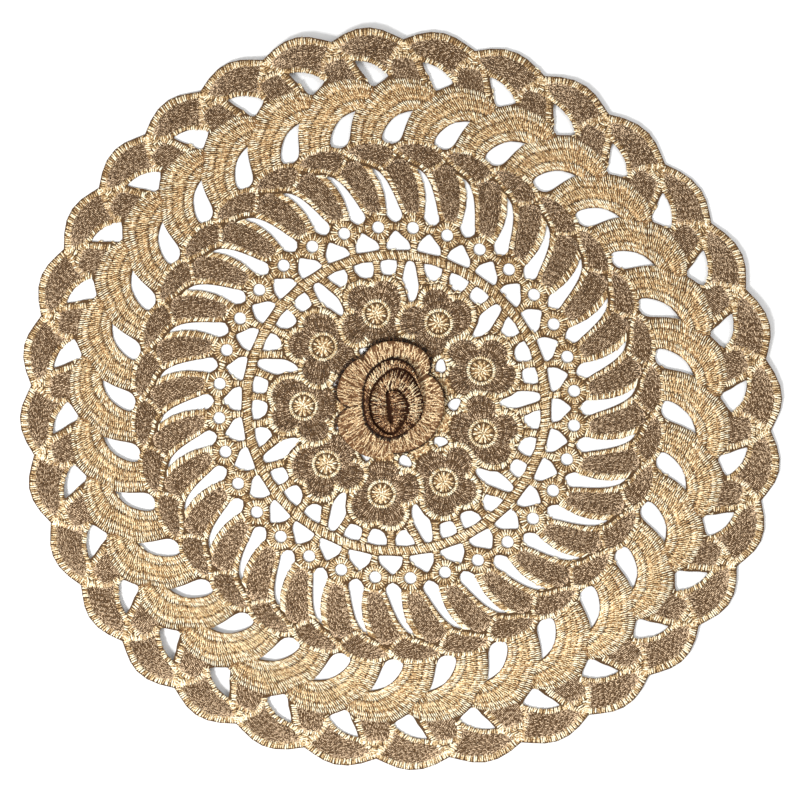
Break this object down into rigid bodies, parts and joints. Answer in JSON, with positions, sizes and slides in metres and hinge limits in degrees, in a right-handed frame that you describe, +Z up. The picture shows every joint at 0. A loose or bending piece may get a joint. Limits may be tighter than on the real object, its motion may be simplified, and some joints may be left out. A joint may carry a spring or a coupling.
{
  "type": "lace placemat",
  "caption": "Round openwork lace placemat in gold and brown thread, with a scalloped rim, swirling blades and leaves, a ring of flowers and a raised rose at its middle.",
  "frame": {"origin": "middle of the mat's outline, at its underside", "axes": "+Z up out of the mat, away from the table; +X to the right and +Y to the top of the mat as it is shown from above"},
  "size_m": [0.3864, 0.3762, 0.0099],
  "materials": {
    "lace_thread": "embroidered thread, gold satin borders over brown fills, soft sheen",
    "petal_thread": "tan satin stitch, soft sheen",
    "roll_thread": "bronze satin stitch, soft sheen"
  },
  "bodies": {
    "root": {"lace_ground": "lace_thread", "rose_petals": "petal_thread", "rose_roll": "roll_thread"}
  },
  "joints": []
}
